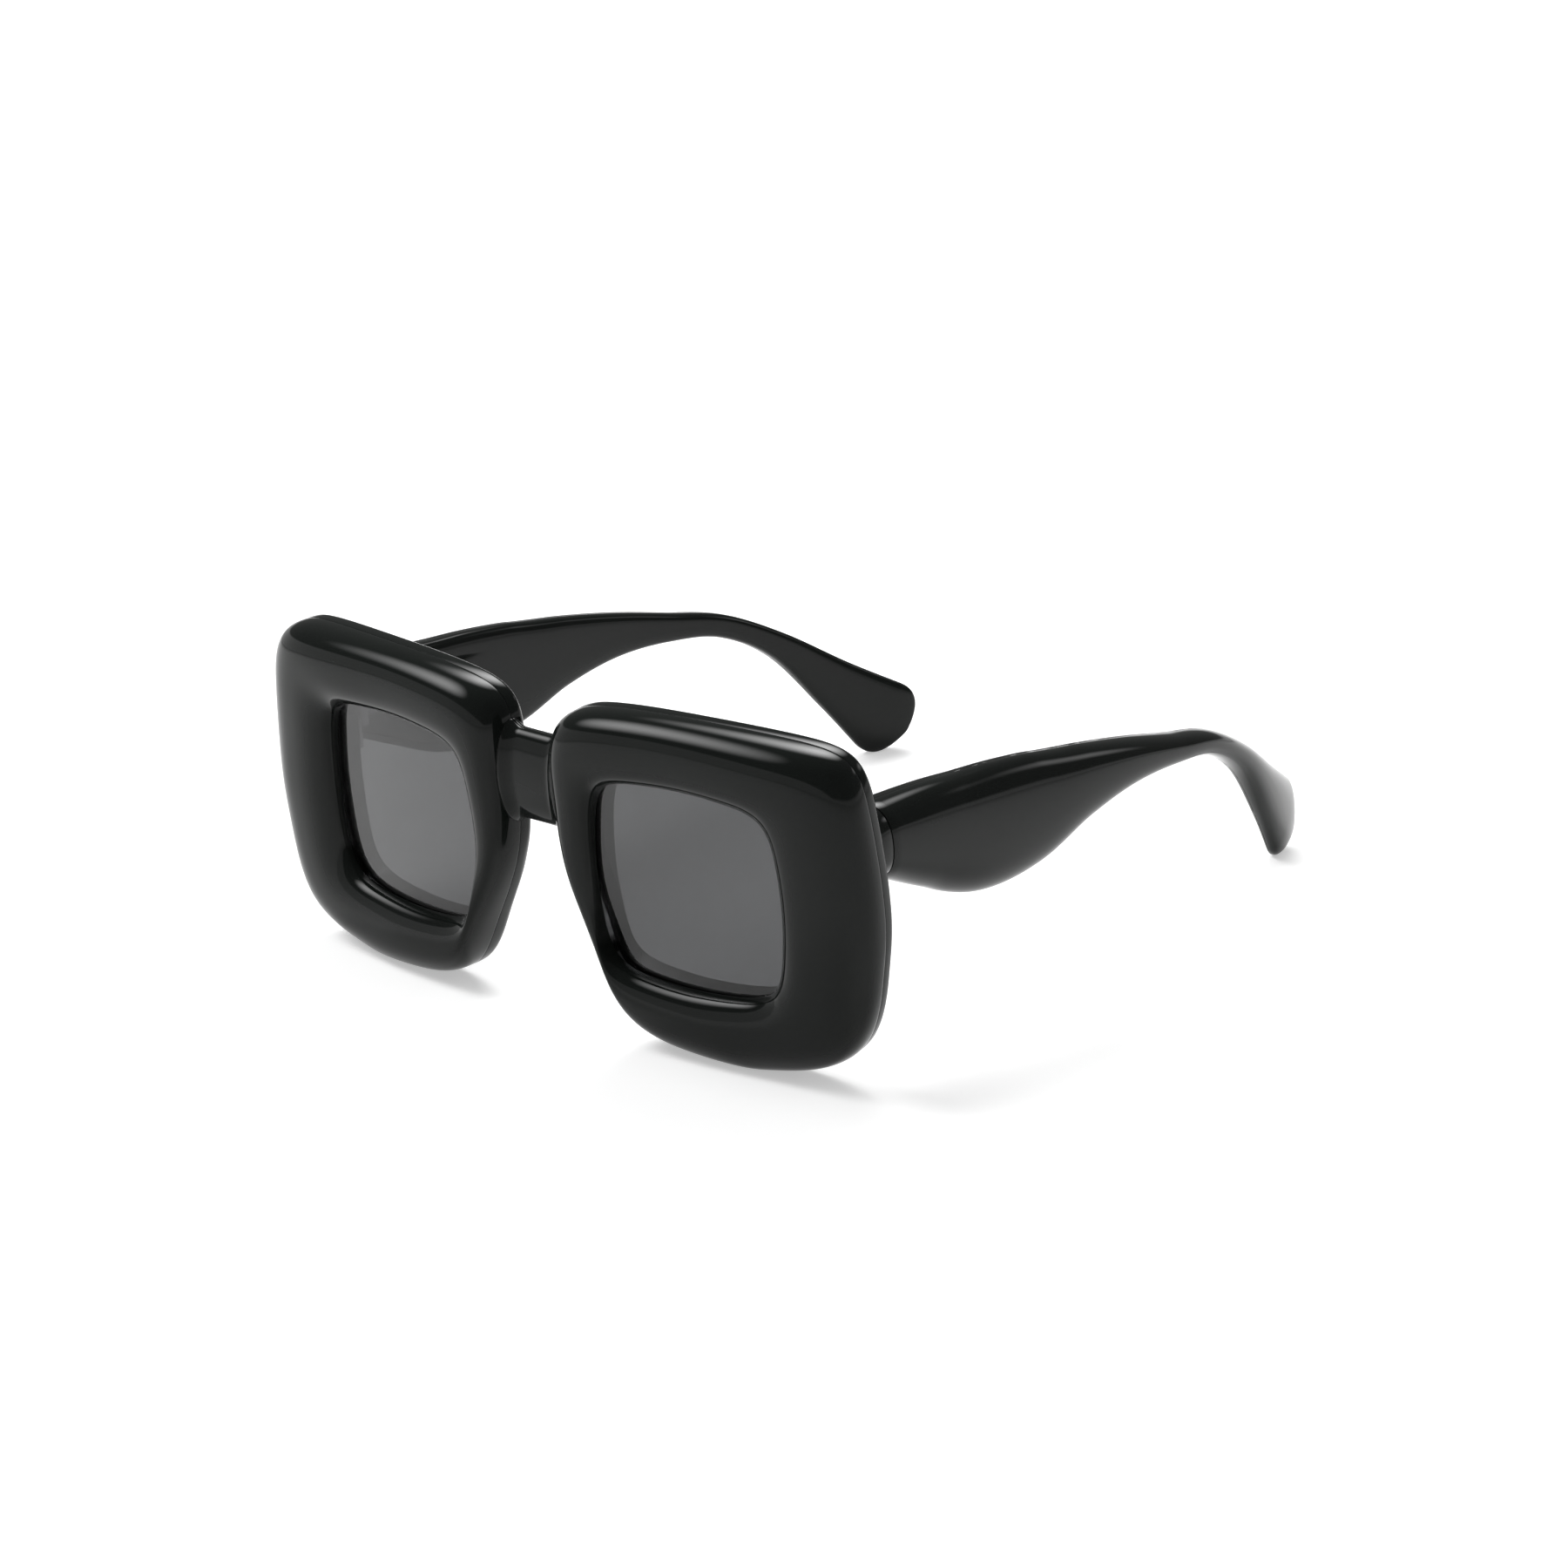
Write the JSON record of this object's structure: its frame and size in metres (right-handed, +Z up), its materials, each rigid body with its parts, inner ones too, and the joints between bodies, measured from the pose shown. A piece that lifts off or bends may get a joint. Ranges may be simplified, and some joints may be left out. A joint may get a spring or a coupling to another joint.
{
  "type": "square sunglasses",
  "caption": "Square sunglasses with thick rounded rims, deep-set tinted lenses and wide folding temples that hook over the ears.",
  "frame": {"origin": "middle of the open pair, on the surface that it rests on", "axes": "+X to the wearer's left, +Y back along the temples, +Z up"},
  "size_m": [0.1402, 0.1662, 0.0621],
  "materials": {
    "frame": "gloss",
    "lens": "clear tint",
    "steel": "satin"
  },
  "bodies": {
    "front": {"front_shell": "frame", "back_shell": "frame", "left_lens": "lens", "right_lens": "lens", "left_front_leaf": "steel", "right_front_leaf": "steel", "left_front_leaf_screws": "steel", "right_front_leaf_screws": "steel", "left_hinge_screw": "steel", "right_hinge_screw": "steel"},
    "left_temple": {"left_temple_outer": "frame", "left_temple_inner": "frame", "left_temple_leaf": "steel", "left_temple_leaf_screws": "steel"},
    "right_temple": {"right_temple_outer": "frame", "right_temple_inner": "frame", "right_temple_leaf": "steel", "right_temple_leaf_screws": "steel"}
  },
  "joints": [
    {"name": "left_temple_hinge", "type": "hinge", "parent": "front", "child": "left_temple", "pos_m": [0.05783, -0.06233, 0.04299], "axis": [0, -0.0872, 0.9962], "range_deg": [0, 88]},
    {"name": "right_temple_hinge", "type": "hinge", "parent": "front", "child": "right_temple", "pos_m": [-0.05783, -0.06233, 0.04299], "axis": [0, 0.0872, -0.9962], "range_deg": [0, 64]}
  ]
}
